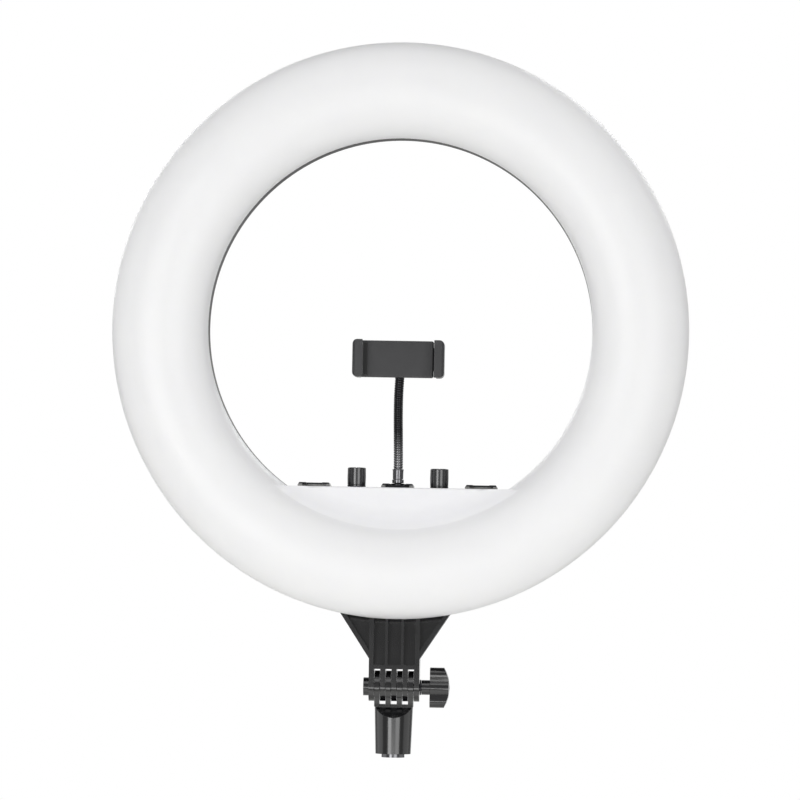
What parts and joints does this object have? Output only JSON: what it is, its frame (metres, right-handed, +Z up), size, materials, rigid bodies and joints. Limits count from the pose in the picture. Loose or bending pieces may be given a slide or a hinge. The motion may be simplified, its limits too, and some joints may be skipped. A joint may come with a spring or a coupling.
{
  "type": "ring light",
  "caption": "Large ring light head with an opal front, a shelf of dials and accessory shoes, a phone clamp on a gooseneck, and a tilting bracket with a socket for a light stand.",
  "frame": {"origin": "centre of the seat at the blind end of the stand socket's bore", "axes": "+Z up along the socket's bore towards the ring, the light faces -Y, +X to the right seen from the front"},
  "size_m": [0.45, 0.0766, 0.5578],
  "materials": {
    "black_abs": "satin moulded ABS",
    "black_housing": "fine-textured moulded ABS",
    "black_rubber": "matt rubber",
    "opal_diffuser": "smooth opal",
    "steel": "bright plated",
    "black_steel": "black plated steel",
    "circuit_board": "white solder resist",
    "green_board": "green solder resist",
    "red_lead": "PVC insulation"
  },
  "bodies": {
    "stand": {"stand_socket": "black_abs", "socket_liner": "steel"},
    "lock_pad": {"lock_pad": "black_rubber"},
    "lock_knob": {"lock_knob": "black_abs", "lock_screw": "steel"},
    "head": {"tilt_bracket": "black_abs", "tilt_nut": "steel", "bracket_screw_1": "black_steel", "bracket_screw_2": "black_steel", "bracket_screw_3": "black_steel", "bracket_screw_4": "black_steel", "rear_housing": "black_housing", "front_diffuser": "opal_diffuser", "led_board_1": "circuit_board", "led_board_2": "circuit_board", "led_board_3": "circuit_board", "led_board_4": "circuit_board", "driver_board": "green_board", "led_lead": "red_lead", "brightness_pot": "steel", "brightness_nut": "steel", "colour_pot": "steel", "colour_nut": "steel", "left_shoe": "black_steel", "centre_shoe": "black_steel", "right_shoe": "black_steel", "left_shoe_screw_1": "steel", "left_shoe_screw_2": "steel", "centre_shoe_screw_1": "steel", "centre_shoe_screw_2": "steel", "right_shoe_screw_1": "steel", "right_shoe_screw_2": "steel", "dc_jack": "black_abs", "switch_body": "black_abs", "housing_screw_1": "black_steel", "housing_screw_2": "black_steel", "housing_screw_3": "black_steel", "housing_screw_4": "black_steel", "housing_screw_5": "black_steel", "housing_screw_6": "black_steel"},
    "tilt_washer": {"tilt_washer": "steel"},
    "tilt_knob": {"tilt_knob": "black_abs", "tilt_stud": "steel"},
    "brightness_knob": {"brightness_knob": "black_abs", "brightness_shaft": "steel"},
    "colour_knob": {"colour_knob": "black_abs", "colour_shaft": "steel"},
    "switch_rocker": {"switch_rocker": "black_abs"},
    "holder_foot": {"holder_foot": "black_steel", "lower_ferrule": "steel", "gooseneck_lower": "black_steel"},
    "neck_middle": {"gooseneck_upper": "black_steel"},
    "neck_end": {"ball_stud": "steel"},
    "ball_ring": {"lock_ring": "black_abs"},
    "clamp": {"clamp_back": "black_abs", "clamp_body": "black_abs", "fixed_jaw_pad": "black_rubber", "clamp_spring": "steel"},
    "sliding_jaw": {"sliding_jaw": "black_abs", "sliding_jaw_pad": "black_rubber"}
  },
  "joints": [
    {"name": "tilt", "type": "hinge", "parent": "stand", "child": "head", "pos_m": [0, 0, 0.02], "axis": [1, 0, 0], "range_deg": [-90, 90]},
    {"name": "tilt_washer_slide", "type": "slide", "parent": "head", "child": "tilt_washer", "axis": [1, 0, 0], "range_m": [0, 0.002]},
    {"name": "tilt_knob_turn", "type": "hinge", "parent": "tilt_washer", "child": "tilt_knob", "pos_m": [0.03, 0, 0.02], "axis": [1, 0, 0], "range_deg": [0, 720]},
    {"name": "lock_pad_slide", "type": "slide", "parent": "stand", "child": "lock_pad", "axis": [0, -1, 0], "range_m": [0, 0.002]},
    {"name": "lock_knob_turn", "type": "hinge", "parent": "lock_pad", "child": "lock_knob", "pos_m": [0, 0.02, -0.016], "axis": [0, -1, 0], "range_deg": [0, 720]},
    {"name": "brightness_turn", "type": "hinge", "parent": "head", "child": "brightness_knob", "pos_m": [-0.0323, -0.001, 0.1752], "axis": [0, 0, -1], "range_deg": [-150, 150]},
    {"name": "colour_turn", "type": "hinge", "parent": "head", "child": "colour_knob", "pos_m": [0.0323, -0.001, 0.1752], "axis": [0, 0, -1], "range_deg": [-150, 150]},
    {"name": "power_rocker", "type": "hinge", "parent": "head", "child": "switch_rocker", "pos_m": [-0.034, 0.0175, 0.164], "axis": [0, 0, 1], "range_deg": [-16, 0]},
    {"name": "holder_slide", "type": "slide", "parent": "head", "child": "holder_foot", "axis": [0, -1, 0], "range_m": [0, 0.018]},
    {"name": "neck_fore_aft", "type": "hinge", "parent": "holder_foot", "child": "neck_middle", "pos_m": [-0.0005, 0.0035, 0.215], "axis": [1, 0, 0], "range_deg": [-30, 30], "deforming": ["gooseneck_lower"]},
    {"name": "neck_sideways", "type": "hinge", "parent": "neck_middle", "child": "neck_end", "pos_m": [-0.00093, 0.01575, 0.25633], "axis": [0, 1, 0], "range_deg": [-35, 35], "deforming": ["gooseneck_upper"]},
    {"name": "ball_tilt", "type": "hinge", "parent": "neck_end", "child": "ball_ring", "pos_m": [0, -0.012, 0.2747], "axis": [1, 0, 0], "range_deg": [-20, 20]},
    {"name": "clamp_roll", "type": "hinge", "parent": "ball_ring", "child": "clamp", "pos_m": [0, -0.012, 0.2747], "axis": [0, 1, 0], "range_deg": [-90, 90]},
    {"name": "jaw_slide", "type": "slide", "parent": "clamp", "child": "sliding_jaw", "axis": [1, 0, 0], "range_m": [0, 0.03], "stiffness_N_per_m": 300, "springref_m": -0.02, "deforming": ["clamp_spring"]}
  ],
  "couplings": [
    {"joint": "tilt_knob_turn", "follows": "tilt_washer_slide", "rad_per_m": 6283.2},
    {"joint": "lock_knob_turn", "follows": "lock_pad_slide", "rad_per_m": 6283.2}
  ]
}
